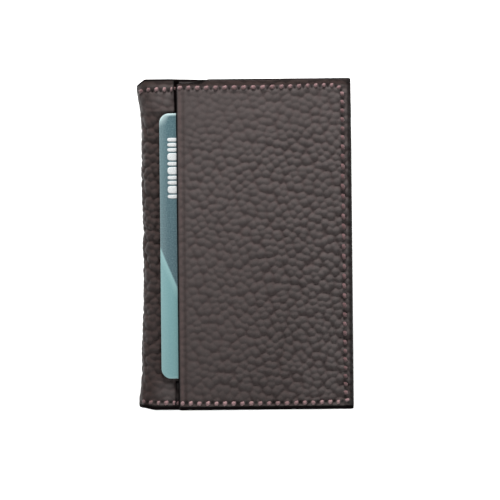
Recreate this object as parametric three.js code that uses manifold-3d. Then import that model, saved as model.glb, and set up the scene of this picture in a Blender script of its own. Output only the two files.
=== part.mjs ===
// A slim bifold card wallet: two leather halves that fold like a book about a leather spine,
// an outside card pocket on the front with its mouth towards the spine, and three stepped
// pockets inside each half. Millimetres, +Z up. The closed wallet lies on its back cover with
// the front up, the spine at -X and the top edge at +Y. The origin is the middle of the back face.
import * as THREE from "three";
import { mergeVertices } from "three/addons/utils/BufferGeometryUtils.js";
import Module from "manifold-3d";

const wasm = await Module();
wasm.setup();

// ---------------------------------------------------------------- overall
const W = 69; // closed width, spine to free edge
const H = 107; // height
const X0 = -W / 2; // outer face of the spine
const X1 = W / 2; // free edge

// ---------------------------------------------------------------- material thicknesses
const T_COVER = 1.2; // pebbled hide of the outer shell
const T_BOARD = 0.4; // bonded-leather stiffener
const T_LINING = 0.25; // woven lining
const T_NOTE = 0.7; // innermost pocket leaf of each half
const T_SLOT = 0.6; // card slot leaves
const T_OUTER = 1.1; // leaf of the outside pocket
const T_THREAD = 0.25; // height of a thread run
const GAP = 0.05; // air between glued or stitched layers
const NOTE_GAP = 0.1; // empty note pocket
const MID_GAP = 0.8; // between the two halves when shut

// ---------------------------------------------------------------- card (ISO ID-1)
const CARD_W = 53.98,
  CARD_H = 85.6,
  CARD_T = 0.76,
  CARD_R = 3.18;
const CARD_X0 = -27.7; // the card stands 5.5 mm out of the pocket mouth
const CARD_Z0 = 10.1;

// ---------------------------------------------------------------- pocket mouths (x of each free edge)
const MOUTH_OUTER = -22.2;
const MOUTH_NOTE = -22.2;
const MOUTH_UPPER = -14.2;
const MOUTH_LOWER = -6.2;

// ---------------------------------------------------------------- seams
const SEAM = 2.5; // stitch line's distance from an edge
const GROOVE_W = 0.9,
  GROOVE_D = 0.35;
const THREAD_W = 0.6;
const HEM = 2.9; // width of the outside pocket's folded hems
const MOUTH_HEM = 6; // width of its folded mouth

// ---------------------------------------------------------------- depth stack, d measured from the back face
const back = {};
{
  let d = 0;
  back.cover = [d, (d += T_COVER)];
  d += GAP;
  back.board = [d, (d += T_BOARD)];
  d += GAP;
  back.lining = [d, (d += T_LINING)];
  d += NOTE_GAP;
  back.note = [d, (d += T_NOTE)];
  d += GAP;
  back.upper = [d, (d += T_SLOT)];
  d += GAP;
  back.lower = [d, (d += T_SLOT)];
}
const MID = back.lower[1] + MID_GAP / 2; // plane between the halves
const FOLD_T = 2 * MID; // thickness over the two covers
const front = {};
for (const k in back) front[k] = [FOLD_T - back[k][1], FOLD_T - back[k][0]];
const D_CARD = [FOLD_T + 0.1, FOLD_T + 0.1 + CARD_T];
const D_HEM = [FOLD_T + GAP, D_CARD[1] + 0.44];
const D_MOUTH_HEM = [D_CARD[1] + 0.09, D_HEM[1]];
const D_OUTER = [D_HEM[1] + GAP, D_HEM[1] + GAP + T_OUTER];
const D = D_OUTER[1]; // whole thickness

// ---------------------------------------------------------------- fold axes
// The hide bends on a half round of radius FOLD_T / 2. A hinge line PIVOT in from each sharp
// corner keeps the outer skin's length the same shut and open. Both lines run along Y: the back
// one at x = X0 + PIVOT, z = PIVOT, the front one at the same x, z = FOLD_T - PIVOT.
const PIVOT = (FOLD_T / 2) * (1 - Math.PI / 4);

// ---------------------------------------------------------------- materials
const material = (hex, roughness, metalness = 0) =>
  new THREE.MeshStandardMaterial({ color: hex, roughness, metalness });
const HIDE = material(0x4c4241, 0.55);
const HIDE_IN = material(0x463b39, 0.6);
const BOARD = material(0x6b5444, 0.9);
const LINING = material(0x2f2726, 0.85);
const THREAD = material(0xb98a8a, 0.7);
const CARD = material(0x7ea2a4, 0.35);

// ---------------------------------------------------------------- shape helpers
// A rectangle in x and height with its own corner radius at [left bottom, right bottom, right top, left top].
function plate(x0, x1, z0, z1, r = [0, 0, 0, 0]) {
  const s = new THREE.Shape();
  s.moveTo(x0 + r[0], z0);
  s.lineTo(x1 - r[1], z0);
  if (r[1]) s.absarc(x1 - r[1], z0 + r[1], r[1], -Math.PI / 2, 0, false);
  s.lineTo(x1, z1 - r[2]);
  if (r[2]) s.absarc(x1 - r[2], z1 - r[2], r[2], 0, Math.PI / 2, false);
  s.lineTo(x0 + r[3], z1);
  if (r[3]) s.absarc(x0 + r[3], z1 - r[3], r[3], Math.PI / 2, Math.PI, false);
  s.lineTo(x0, z0 + r[0]);
  if (r[0]) s.absarc(x0 + r[0], z0 + r[0], r[0], Math.PI, 1.5 * Math.PI, false);
  return s;
}

// Every slab is drawn in x, height above the bottom edge, and depth d from the back face.
function slab(shape, [d0, d1], curveSegments = 4) {
  const g = new THREE.ExtrudeGeometry(shape, {
    depth: d1 - d0,
    bevelEnabled: false,
    curveSegments,
  });
  g.translate(0, 0, d0);
  return g;
}

function toSolid(geometry) {
  const g = geometry.index ? geometry.toNonIndexed() : geometry.clone();
  for (const k of Object.keys(g.attributes))
    if (k !== "position") g.deleteAttribute(k);
  const m = mergeVertices(g, 1e-4);
  return new wasm.Manifold(
    new wasm.Mesh({
      numProp: 3,
      vertProperties: new Float32Array(m.attributes.position.array),
      triVerts: new Uint32Array(m.index.array),
    }),
  );
}

function toGeometry(solid) {
  const m = solid.getMesh();
  const v = new Float32Array(m.numVert * 3);
  for (let i = 0; i < m.numVert; i++)
    for (let k = 0; k < 3; k++)
      v[3 * i + k] = m.vertProperties[m.numProp * i + k];
  const g = new THREE.BufferGeometry();
  g.setAttribute("position", new THREE.BufferAttribute(v, 3));
  g.setIndex(new THREE.BufferAttribute(new Uint32Array(m.triVerts), 1));
  g.computeVertexNormals();
  return g;
}

const box = (x0, x1, z0, z1, d0, d1) => {
  const g = new THREE.BoxGeometry(x1 - x0, z1 - z0, d1 - d0);
  g.translate((x0 + x1) / 2, (z0 + z1) / 2, (d0 + d1) / 2);
  return g;
};
const cut = (base, ...tools) =>
  toGeometry(tools.reduce((s, t) => s.subtract(toSolid(t)), toSolid(base)));
const join = (first, ...rest) =>
  toGeometry(rest.reduce((s, t) => s.add(toSolid(t)), toSolid(first)));

// Three bars of a U seam that is open towards the spine: bottom, free edge, top.
function seamBars(xLeft, w, d0, d1, over = 0) {
  const h = w / 2;
  return [
    box(xLeft, X1 - SEAM + h, SEAM - h, SEAM + h, d0 - over, d1),
    box(X1 - SEAM - h, X1 - SEAM + h, SEAM - h, H - SEAM + h, d0 - over, d1),
    box(xLeft, X1 - SEAM + h, H - SEAM - h, H - SEAM + h, d0 - over, d1),
  ];
}

// ---------------------------------------------------------------- assembly
const wallet = new THREE.Group();
wallet.name = "bifold_card_wallet";
const halves = {};
for (const k of ["back_half", "spine", "front_half", "card_body"]) {
  halves[k] = new THREE.Group();
  halves[k].name = k;
  halves[k].position.y = -H / 2; // height is measured from the bottom edge
  wallet.add(halves[k]);
}
function add(body, name, geometry, mat) {
  const mesh = new THREE.Mesh(geometry, mat.clone());
  mesh.name = name;
  halves[body].add(mesh);
  return mesh;
}

// ---- outer shell: one hide, parted at its two fold lines
const COVER_X0 = X0 + 1.4;
const FREE_R = [0, 0.8, 0.8, 0];
const THREAD_X0 = -31.5;
add(
  "back_half",
  "back_cover",
  cut(
    slab(plate(COVER_X0, X1, 0, H, FREE_R), back.cover),
    ...seamBars(COVER_X0 - 1, GROOVE_W, -1, GROOVE_D),
  ),
  HIDE,
);
{
  const h = GROOVE_W / 2;
  const strip = [COVER_X0 - 1, MOUTH_OUTER];
  const d = [FOLD_T - GROOVE_D, FOLD_T + 1];
  add(
    "front_half",
    "front_cover",
    cut(
      slab(plate(COVER_X0, X1, 0, H, FREE_R), front.cover),
      box(...strip, SEAM - h, SEAM + h, ...d),
      box(...strip, H - SEAM - h, H - SEAM + h, ...d),
    ),
    HIDE,
  );
  const spineD = [1.5, FOLD_T - 1.5];
  add(
    "spine",
    "spine_cover",
    cut(
      box(X0, X0 + T_COVER, 0, H, ...spineD),
      box(X0 - 1, X0 + GROOVE_D, SEAM - h, SEAM + h, spineD[0] - 1, spineD[1] + 1),
      box(
        X0 - 1,
        X0 + GROOVE_D,
        H - SEAM - h,
        H - SEAM + h,
        spineD[0] - 1,
        spineD[1] + 1,
      ),
    ),
    HIDE,
  );
}

// ---- stiffeners and lining
for (const [side, stack] of [
  ["back", back],
  ["front", front],
]) {
  const body = side + "_half";
  add(
    body,
    side + "_stiffener",
    slab(plate(-28, X1 - 0.6, 0.6, H - 0.6), stack.board),
    BOARD,
  );
  add(
    body,
    side + "_lining",
    slab(plate(-29.5, X1 - 0.1, 0.1, H - 0.1), stack.lining),
    LINING,
  );
  // ---- stepped pockets, each open towards the spine
  add(
    body,
    side + "_note_pocket",
    slab(plate(MOUTH_NOTE, X1, 0, H, FREE_R), stack.note),
    HIDE_IN,
  );
  add(
    body,
    side + "_card_slot_upper",
    slab(plate(MOUTH_UPPER, X1, 0, H, FREE_R), stack.upper),
    HIDE_IN,
  );
  add(
    body,
    side + "_card_slot_lower",
    slab(plate(MOUTH_LOWER, X1, 0, H, FREE_R), stack.lower),
    HIDE_IN,
  );
}
add(
  "spine",
  "spine_lining",
  box(X0 + T_COVER + GAP, X0 + T_COVER + GAP + T_LINING, 0.1, H - 0.1, 2.4, FOLD_T - 2.4),
  LINING,
);

// ---- outside pocket: leaf, folded mouth and the three folded hems that hold it a card's thickness off the cover
add(
  "front_half",
  "outer_pocket",
  cut(
    slab(plate(MOUTH_OUTER, X1, 0, H, FREE_R), D_OUTER),
    ...seamBars(MOUTH_OUTER - 1, GROOVE_W, D - GROOVE_D, D + 1),
  ),
  HIDE,
);
add(
  "front_half",
  "outer_pocket_mouth_hem",
  box(MOUTH_OUTER, MOUTH_OUTER + MOUTH_HEM, HEM + 0.2, H - HEM - 0.2, ...D_MOUTH_HEM),
  HIDE,
);
add(
  "front_half",
  "outer_pocket_side_hem",
  slab(plate(X1 - HEM, X1, 0, H, FREE_R), D_HEM),
  HIDE,
);
add(
  "front_half",
  "outer_pocket_bottom_hem",
  box(MOUTH_OUTER, X1 - HEM - GAP, 0, HEM, ...D_HEM),
  HIDE,
);
add(
  "front_half",
  "outer_pocket_top_hem",
  box(MOUTH_OUTER, X1 - HEM - GAP, H - HEM, H, ...D_HEM),
  HIDE,
);

// ---- thread, lying in its groove outside and on the leather inside
const TH = THREAD_W / 2;
add(
  "back_half",
  "back_outer_thread",
  join(...seamBars(THREAD_X0, THREAD_W, 0.02, 0.02 + T_THREAD)),
  THREAD,
);
add(
  "front_half",
  "front_outer_thread",
  join(...seamBars(MOUTH_OUTER + 0.3, THREAD_W, D - 0.02 - T_THREAD, D - 0.02)),
  THREAD,
);
for (const [end, z] of [
  ["bottom", SEAM],
  ["top", H - SEAM],
]) {
  add(
    "front_half",
    "front_strip_thread_" + end,
    box(
      THREAD_X0,
      MOUTH_OUTER - 0.3,
      z - TH,
      z + TH,
      FOLD_T - 0.02 - T_THREAD,
      FOLD_T - 0.02,
    ),
    THREAD,
  );
  add(
    "spine",
    "spine_thread_" + end,
    box(X0 + 0.02, X0 + 0.02 + T_THREAD, z - TH, z + TH, 1.7, FOLD_T - 1.7),
    THREAD,
  );
}
// The inside run climbs each pocket's free edge, so it is built level by level.
function innerThread(flip) {
  const lift = 0.02;
  const levels = [
    [-29, back.lining[1]],
    [MOUTH_NOTE, back.note[1]],
    [MOUTH_UPPER, back.upper[1]],
    [MOUTH_LOWER, back.lower[1]],
  ];
  const parts = [];
  for (const z of [SEAM, H - SEAM])
    levels.forEach(([x, face], i) => {
      const from = i ? x - 0.35 : x;
      const to = i + 1 < levels.length ? levels[i + 1][0] - 0.1 : X1 - SEAM + TH;
      parts.push(
        box(from, to, z - TH, z + TH, face + lift, face + lift + T_THREAD),
      );
      if (i) {
        const below = levels[i - 1][1];
        parts.push(
          box(x - 0.35, x - 0.1, z - TH, z + TH, below + lift, face + lift + T_THREAD),
        );
      }
    });
  const topFace = back.lower[1];
  parts.push(
    box(
      X1 - SEAM - TH,
      X1 - SEAM + TH,
      SEAM - TH,
      H - SEAM + TH,
      topFace + lift,
      topFace + lift + T_THREAD,
    ),
  );
  let solid = parts.map(toSolid).reduce((a, b) => a.add(b));
  if (flip) solid = solid.mirror([0, 0, 1]).translate([0, 0, FOLD_T]);
  return toGeometry(solid);
}
add("back_half", "back_inner_thread", innerThread(false), THREAD);
add("front_half", "front_inner_thread", innerThread(true), THREAD);

// ---- the card in the outside pocket
add(
  "card_body",
  "card",
  slab(
    plate(CARD_X0, CARD_X0 + CARD_W, CARD_Z0, CARD_Z0 + CARD_H, [
      CARD_R,
      CARD_R,
      CARD_R,
      CARD_R,
    ]),
    D_CARD,
    6,
  ),
  CARD,
);

// Fold lines and the card's direction of travel, for whoever animates the group.
wallet.userData = {
  backFold: [X0 + PIVOT, 0, PIVOT],
  frontFold: [X0 + PIVOT, 0, FOLD_T - PIVOT],
  cardTravel: [-1, 0, 0],
};
wallet.updateMatrixWorld(true);
export default wallet;
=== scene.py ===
import math

import bpy
import numpy as np
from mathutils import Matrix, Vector


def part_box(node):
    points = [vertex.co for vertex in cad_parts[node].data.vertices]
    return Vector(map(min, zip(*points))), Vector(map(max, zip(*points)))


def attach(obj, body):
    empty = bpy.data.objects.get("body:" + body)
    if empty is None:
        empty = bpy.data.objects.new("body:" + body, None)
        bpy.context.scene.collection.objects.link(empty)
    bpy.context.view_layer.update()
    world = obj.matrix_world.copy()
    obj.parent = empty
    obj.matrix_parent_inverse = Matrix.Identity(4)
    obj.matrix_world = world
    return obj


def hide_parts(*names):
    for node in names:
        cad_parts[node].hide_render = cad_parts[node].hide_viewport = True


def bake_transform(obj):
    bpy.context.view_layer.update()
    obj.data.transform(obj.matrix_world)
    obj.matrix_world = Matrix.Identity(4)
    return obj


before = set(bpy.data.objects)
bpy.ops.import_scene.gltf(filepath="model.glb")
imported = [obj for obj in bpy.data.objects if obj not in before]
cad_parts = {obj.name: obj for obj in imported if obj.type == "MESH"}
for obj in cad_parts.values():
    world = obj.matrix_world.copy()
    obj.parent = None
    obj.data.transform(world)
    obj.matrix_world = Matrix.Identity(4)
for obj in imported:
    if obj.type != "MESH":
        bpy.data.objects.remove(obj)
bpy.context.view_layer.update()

MM = 0.001


def cad(node):
    """Lowest and highest corner of a CAD node, in millimetres."""
    lo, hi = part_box(node)
    return np.array(lo) / MM, np.array(hi) / MM


# ------------------------------------------------------------------ numbers from the frame, in mm
FOLD_T = float(cad("front_cover")[1][2])  # over both covers
X_FREE = float(cad("front_cover")[1][0])
X_SPINE = float(cad("spine_cover")[0][0])
Y_TOP = float(cad("front_cover")[1][1]) - 0.15
Y_BOT = float(cad("front_cover")[0][1]) + 0.08
T_COVER = float(cad("back_cover")[1][2] - cad("back_cover")[0][2])
MOUTH = float(cad("outer_pocket")[0][0])
CARD_LO, CARD_HI = cad("card")
R_FOLD = FOLD_T / 2
X_ARC = X_SPINE + R_FOLD  # where the hide starts to bend
ARC = R_FOLD * math.pi / 2
SEAM = 2.5
PITCH = 2.93
FREE = X_FREE - 0.27

# ------------------------------------------------------------------ small maths


def ramp(x, a, b):
    t = np.clip((np.asarray(x, float) - a) / (b - a), 0, 1)
    return t * t * (3 - 2 * t)


def _hash(ix, iy, seed):
    n = (ix.astype(np.int64) * 374761393 + iy.astype(np.int64) * 668265263 + seed * 1442695041) & 0xFFFFFFFF
    n = ((n ^ (n >> 13)) * 1274126177) & 0xFFFFFFFF
    n = n ^ (n >> 16)
    return (n & 0xFFFF) / 65535.0, ((n >> 16) & 0xFFFF) / 65535.0


def noise(x, y, seed):
    """Smooth value noise, 0 to 1, one feature a unit."""
    ix, iy = np.floor(x), np.floor(y)
    fx, fy = x - ix, y - iy
    fx, fy = fx * fx * (3 - 2 * fx), fy * fy * (3 - 2 * fy)
    c = [[_hash(ix + i, iy + j, seed)[0] for i in (0, 1)] for j in (0, 1)]
    return (c[0][0] * (1 - fx) + c[0][1] * fx) * (1 - fy) + (c[1][0] * (1 - fx) + c[1][1] * fx) * fy


def pebble(u, v, seed, pitch=2.44, slant=46.0, jitter=0.57, warp=1.3, sharp=20.0):
    """Height 0 to 1 of tumbled, pebbled leather at flat coordinates u, v in mm: close-packed soft domes of uneven size."""
    a = math.radians(slant)
    wu = (u + warp * (noise(u / 7.5, v / 7.5, seed + 1) - 0.5)) / 1.14
    wv = v + warp * (noise(u / 7.5, v / 7.5, seed + 2) - 0.5)
    p = (wu * math.cos(a) + wv * math.sin(a)) / pitch
    q = (-wu * math.sin(a) + wv * math.cos(a)) / (0.866 * pitch)
    ix, iy = np.floor(p), np.floor(q)
    total = np.zeros(np.shape(p))
    own = np.zeros(np.shape(p))
    for dx in (-2, -1, 0, 1, 2):
        for dy in (-2, -1, 0, 1, 2):
            ra, rb = _hash(ix + dx, iy + dy, seed + 3)
            stagger = 0.5 * ((iy + dy) % 2)
            ex = ix + dx + 0.5 + stagger + (ra - 0.5) * jitter - p
            ey = 0.866 * (iy + dy + 0.5 + (rb - 0.5) * jitter - q)
            e = np.exp(-sharp * (ex * ex + ey * ey))
            total += e
            own += e * ((ra * 7.31 + rb * 3.17) % 1.0)
    dome = (1 + np.log(total) / sharp - 0.60) / 0.42 + 0.16 * (own / total - 0.5)
    fine = noise(u / 0.80, v / 0.70, seed + 9)
    return np.clip(0.92 * dome + 0.08 * fine, 0, 1)


def round_off(t, r):
    """How far a rounded edge of radius r has fallen where t of it is used up."""
    t = np.clip(t, 0, r)
    return r - np.sqrt(np.maximum(r * r - t * t, 0))


def refined(a, b, step, ends=(True, True)):
    """Coordinates from a to b, a fixed step apart, closer at the rounded ends."""
    off = np.array([0.0, 0.03, 0.09, 0.18, 0.30, 0.45, 0.64, 0.88])
    lo = a + off if ends[0] else np.array([a])
    hi = b - off[::-1] if ends[1] else np.array([b])
    mid = np.linspace(lo[-1], hi[0], max(2, int(round((hi[0] - lo[-1]) / step)) + 1))
    return np.concatenate([lo, mid[1:-1], hi])


# ------------------------------------------------------------------ mesh making
ROOT = bpy.context.scene.collection
PAINTED = []


def make_object(name, verts, faces, flat_faces=(), attrs=None, material=None):
    me = bpy.data.meshes.new(name)
    me.from_pydata((np.asarray(verts) * MM).tolist(), [], faces)
    me.validate(clean_customdata=False)
    smooth = np.ones(len(me.polygons), bool)
    smooth[list(flat_faces)] = False
    me.polygons.foreach_set("use_smooth", smooth)
    for key, val in (attrs or {}).items():
        val = np.asarray(val, np.float32)
        if val.ndim == 2:
            a = me.attributes.new(key, "FLOAT_VECTOR", "POINT")
            a.data.foreach_set("vector", val.ravel())
        else:
            a = me.attributes.new(key, "FLOAT", "POINT")
            a.data.foreach_set("value", val)
    me.update()
    ob = bpy.data.objects.new(name, me)
    ROOT.objects.link(ob)
    if material:
        me.materials.append(material)
    if material in PAINTED:
        me.materials.append(EDGE_PAINT if material == HIDE else EDGE_INNER)
        value = np.asarray(attrs["edge"])
        pick = np.array([value[list(f)].min() > 0.93 if len(f) < 9 else False for f in faces])
        me.polygons.foreach_set("material_index", pick.astype(np.int32))
        me.update()
    return ob


def loft(name, P, attrs, material, outward=1):
    """A closed body from rings of points: P is (stations, ring points, 3)."""
    m, n = P.shape[:2]
    idx = np.arange(m * n).reshape(m, n)
    a, b = idx[:-1], np.roll(idx[:-1], -1, axis=1)
    c, d = np.roll(idx[1:], -1, axis=1), idx[1:]
    quads = np.stack([a, b, c, d], -1).reshape(-1, 4)
    first, last = idx[0][::-1], idx[-1]
    if outward < 0:
        quads = quads[:, ::-1]
        first, last = first[::-1], last[::-1]
    faces = quads.tolist() + [first.tolist(), last.tolist()]
    k = len(quads)
    return make_object(
        name, P.reshape(-1, 3), faces, (k, k + 1), {q: v.reshape(m * n, *v.shape[2:]) for q, v in attrs.items()}, material
    )


def is_outward(ob):
    me = ob.data
    me.calc_loop_triangles()
    co = np.zeros(len(me.vertices) * 3)
    me.vertices.foreach_get("co", co)
    co = co.reshape(-1, 3)
    tri = np.zeros(len(me.loop_triangles) * 3, np.int32)
    me.loop_triangles.foreach_get("vertices", tri)
    t = co[tri.reshape(-1, 3)]
    return float((np.cross(t[:, 0], t[:, 1]) * t[:, 2]).sum()) > 0


def face_out(ob):
    """Turns a closed body's faces outwards if its ring ran the other way."""
    if not is_outward(ob):
        ob.data.flip_normals()
    return ob


# ------------------------------------------------------------------ stitches: where the holes are
def u_holes(x_left, inset=SEAM, right=True, y_lo=Y_BOT, y_hi=Y_TOP, x_right=FREE):
    """Hole centres round a U that is open towards the spine, from the bottom left to the top left."""
    yb, yt, xr = y_lo + inset, y_hi - inset, x_right - inset
    nb = max(2, int(round((xr - x_left) / PITCH)))
    nr = max(2, int(round((yt - yb) / PITCH)))
    bottom = [(x_left + (xr - x_left) * i / nb, yb) for i in range(nb + 1)]
    side = [(xr, yb + (yt - yb) * i / nr) for i in range(1, nr + 1)]
    top = [(xr - (xr - x_left) * i / nb, yt) for i in range(1, nb + 1)]
    return np.array(bottom + side + top)


def run(a, b, count, pitch):
    """Hole centres from a to b. The pitch varies along the run as the list says."""
    gaps = np.interp(np.linspace(0, 1, count), np.linspace(0, 1, len(pitch)), pitch)
    t = np.concatenate([[0], np.cumsum(gaps)]) / gaps.sum()
    return np.array(a)[None, :] * (1 - t[:, None]) + np.array(b)[None, :] * t[:, None]


def seam_field(x, y, holes, reach=0.56):
    """(groove, pit) at points x, y for a run of stitch holes: each 0 to 1."""
    pit = np.zeros(np.shape(x))
    pts = np.asarray(holes)
    lo, hi = pts.min(0), pts.max(0)
    low = np.median(pts[pts[:, 1] < lo[1] + 1.6][:, 1])
    side = pts[(pts[:, 0] > hi[0] - 2.0) & (np.abs(pts[:, 1]) < hi[1] - 2)]
    top = pts[pts[:, 1] > hi[1] - 1.6]
    top = top[np.argsort(top[:, 0])]
    y_top = np.interp(x, top[:, 0], top[:, 1])
    if len(side) > 3:
        side = side[np.argsort(side[:, 1])]
        x_side = np.interp(y, side[:, 1], side[:, 0])
    else:
        x_side = np.full(np.shape(y), hi[0])
    near = np.minimum.reduce(
        [
            np.abs(y - low) + 9 * (x < lo[0] - 1.2) + 9 * (x > hi[0] + 0.6),
            np.abs(y - y_top) + 9 * (x < lo[0] - 1.2) + 9 * (x > hi[0] + 0.6),
            np.abs(x - x_side) + 9 * ((y < lo[1] - 0.5) | (y > hi[1] + 0.5)),
        ]
    )
    groove = np.exp(-((near / 0.66) ** 2))
    mask = near < 1.7
    xs, ys = np.asarray(x)[mask], np.asarray(y)[mask]
    if xs.size:
        best = np.full(xs.shape, 9.0)
        mid = pts.mean(0)
        for hx, hy in pts:
            in_y = -np.sign(hy - mid[1]) * 0.28 * (abs(hy) > 47)
            in_x = -0.28 if (hx > 30 and abs(hy) < 50) else 0.0
            dx, dy = xs - hx - in_x, ys - hy - in_y
            best = np.minimum(best, np.hypot(dx * 0.95 + dy * 0.25, dy * 0.85 - dx * 0.25))
        pit[mask] = np.exp(-((best / reach) ** 2)) * np.where((xs > 30) & (np.abs(ys) < 49), 0.75, 1.0)
    return groove, pit


# ------------------------------------------------------------------ materials
def nt(mat):
    mat.use_nodes = True
    t = mat.node_tree
    t.nodes.clear()
    out = t.nodes.new("ShaderNodeOutputMaterial")
    b = t.nodes.new("ShaderNodeBsdfPrincipled")
    t.links.new(b.outputs[0], out.inputs[0])
    return t, b


def attr(t, name):
    n = t.nodes.new("ShaderNodeAttribute")
    n.attribute_name = name
    return n


def mixc(t, fac, a, b):
    n = t.nodes.new("ShaderNodeMix")
    n.data_type = "RGBA"
    for sock, val in ((n.inputs[0], fac), (n.inputs[6], a), (n.inputs[7], b)):
        if hasattr(val, "is_output"):
            t.links.new(val, sock)
        elif isinstance(val, (int, float)):
            sock.default_value = val
        else:
            sock.default_value = (*val, 1.0)
    return n.outputs[2]


def math_(t, op, a, b=None, c=None, clamp=False):
    n = t.nodes.new("ShaderNodeMath")
    n.operation = op
    n.use_clamp = clamp
    for i, val in enumerate((a, b, c)):
        if val is None:
            continue
        if hasattr(val, "is_output"):
            t.links.new(val, n.inputs[i])
        else:
            n.inputs[i].default_value = val
    return n.outputs[0]


def noise_tex(t, vec, scale, detail=2.0, rough=0.5):
    n = t.nodes.new("ShaderNodeTexNoise")
    n.inputs["Scale"].default_value = scale
    n.inputs["Detail"].default_value = detail
    n.inputs["Roughness"].default_value = rough
    t.links.new(vec, n.inputs["Vector"])
    return n.outputs["Fac"]


def voronoi_tex(t, vec, scale):
    n = t.nodes.new("ShaderNodeTexVoronoi")
    n.feature = "DISTANCE_TO_EDGE"
    n.inputs["Scale"].default_value = scale
    t.links.new(vec, n.inputs["Vector"])
    return n.outputs["Distance"]


def maprange(t, val, a, b, c, d):
    n = t.nodes.new("ShaderNodeMapRange")
    t.links.new(val, n.inputs[0])
    for i, v in enumerate((a, b, c, d)):
        n.inputs[i + 1].default_value = v
    return n.outputs[0]


def bump(t, b, height, distance, strength=1.0):
    n = t.nodes.new("ShaderNodeBump")
    n.inputs["Strength"].default_value = strength
    n.inputs["Distance"].default_value = distance
    t.links.new(height, n.inputs["Height"])
    t.links.new(n.outputs[0], b.inputs["Normal"])


def mat_hide(name, top, valley, edge, rough=(0.50, 0.66), pore=1.0):
    """Pebbled leather. Its pattern reads the flat, uncreased coordinates, so it stays put when the hide bends."""
    m = bpy.data.materials.new(name)
    t, b = nt(m)
    flat = attr(t, "flat").outputs["Vector"]
    grain = attr(t, "grain").outputs["Fac"]
    paint = attr(t, "edge").outputs["Fac"]
    pit = attr(t, "pit").outputs["Fac"]
    cloud = noise_tex(t, flat, 0.09, 3.0)
    mottle = noise_tex(t, flat, 0.9, 3.0, 0.6)
    g = math_(t, "ADD", grain, math_(t, "MULTIPLY", math_(t, "SUBTRACT", mottle, 0.5), 0.55), clamp=True)
    col = mixc(t, maprange(t, g, 0.18, 0.92, 0.0, 1.0), valley, top)
    dark = tuple(0.72 * c for c in top)
    col = mixc(t, maprange(t, cloud, 0.42, 0.72, 0.0, 0.35), col, dark)
    col = mixc(t, attr(t, "shade").outputs["Fac"], col, (0.40 * top[0], 0.31 * top[1], 0.29 * top[2]))
    # painted highlight: a lighter, warmer colour mixed in where this attribute is set
    col = mixc(t, attr(t, "painted_highlight").outputs["Fac"], col, (1.34 * top[0], 1.03 * top[1], 1.00 * top[2]))
    col = mixc(t, paint, col, edge)
    # painted shade in the stitch holes
    col = mixc(t, maprange(t, pit, 0.25, 0.9, 0.0, 0.80), col, tuple(0.18 * c for c in edge))
    t.links.new(col, b.inputs["Base Color"])
    r = maprange(t, g, 0.0, 1.0, rough[1], rough[0])
    r = math_(t, "ADD", r, math_(t, "MULTIPLY", paint, -0.10))
    t.links.new(r, b.inputs["Roughness"])
    b.inputs["Specular IOR Level"].default_value = 0.10
    pores = noise_tex(t, flat, 5.2, 3.0, 0.62)
    cells = voronoi_tex(t, flat, 2.6)
    h = math_(t, "ADD", math_(t, "MULTIPLY", pores, 0.6 * pore), math_(t, "MULTIPLY", math_(t, "MINIMUM", cells, 0.12), 4.0 * pore))
    bump(t, b, h, 0.00006, 0.55)
    return m


def mat_thread(name, a, c):
    m = bpy.data.materials.new(name)
    t, b = nt(m)
    flat = attr(t, "flat").outputs["Vector"]
    n = noise_tex(t, flat, 3.0, 2.0)
    each = noise_tex(t, flat, 0.37, 1.0)
    col = mixc(t, maprange(t, n, 0.3, 0.7, 0.0, 1.0), a, c)
    col = mixc(t, maprange(t, each, 0.35, 0.7, 0.0, 0.5), col, tuple(0.55 * q for q in c))
    # stitches darkened by their shade value: wear on the right seam, painted shade on the other rows
    col = mixc(t, attr(t, "shade").outputs["Fac"], col, (0.30 * c[0], 0.25 * c[1], 0.25 * c[2]))
    # painted shade at each stitch's ends, where the thread goes into its hole
    col = mixc(t, attr(t, "pit").outputs["Fac"], col, tuple(0.25 * q for q in c))
    t.links.new(col, b.inputs["Base Color"])
    t.links.new(maprange(t, n, 0.2, 0.8, 0.55, 0.75), b.inputs["Roughness"])
    b.inputs["Sheen Weight"].default_value = 0.04
    b.inputs["Specular IOR Level"].default_value = 0.35
    bump(t, b, noise_tex(t, flat, 14.0, 1.0), 0.00003, 0.6)
    return m


def mat_lining(name, a, c):
    m = bpy.data.materials.new(name)
    t, b = nt(m)
    flat = attr(t, "flat").outputs["Vector"]
    sep = t.nodes.new("ShaderNodeSeparateXYZ")
    t.links.new(flat, sep.inputs[0])
    k = 2 * math.pi / 0.62
    sx = math_(t, "SINE", math_(t, "MULTIPLY", sep.outputs[0], k))
    sy = math_(t, "SINE", math_(t, "MULTIPLY", sep.outputs[1], k))
    weave = math_(t, "MULTIPLY", sx, sy)
    h = maprange(t, weave, -1.0, 1.0, 0.0, 1.0)
    var = noise_tex(t, flat, 1.3, 2.0)
    col = mixc(t, h, a, c)
    col = mixc(t, maprange(t, var, 0.35, 0.7, 0.0, 0.5), col, tuple(0.6 * q for q in c))
    t.links.new(col, b.inputs["Base Color"])
    t.links.new(maprange(t, h, 0.0, 1.0, 0.86, 0.72), b.inputs["Roughness"])
    b.inputs["Sheen Weight"].default_value = 0.02
    b.inputs["Specular IOR Level"].default_value = 0.15
    bump(t, b, h, 0.00008, 0.8)
    return m


def mat_board(name, a, c):
    m = bpy.data.materials.new(name)
    t, b = nt(m)
    co = t.nodes.new("ShaderNodeTexCoord").outputs["Object"]
    n = noise_tex(t, co, 900.0, 4.0, 0.7)
    t.links.new(mixc(t, maprange(t, n, 0.3, 0.7, 0.0, 1.0), a, c), b.inputs["Base Color"])
    t.links.new(maprange(t, n, 0.2, 0.8, 0.95, 0.8), b.inputs["Roughness"])
    bump(t, b, n, 0.0001, 0.5)
    return m


# pale rim of the card's core, brighter at its top end as a painted highlight
CARD_RIM = (0.235, 0.300, 0.300)


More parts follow.
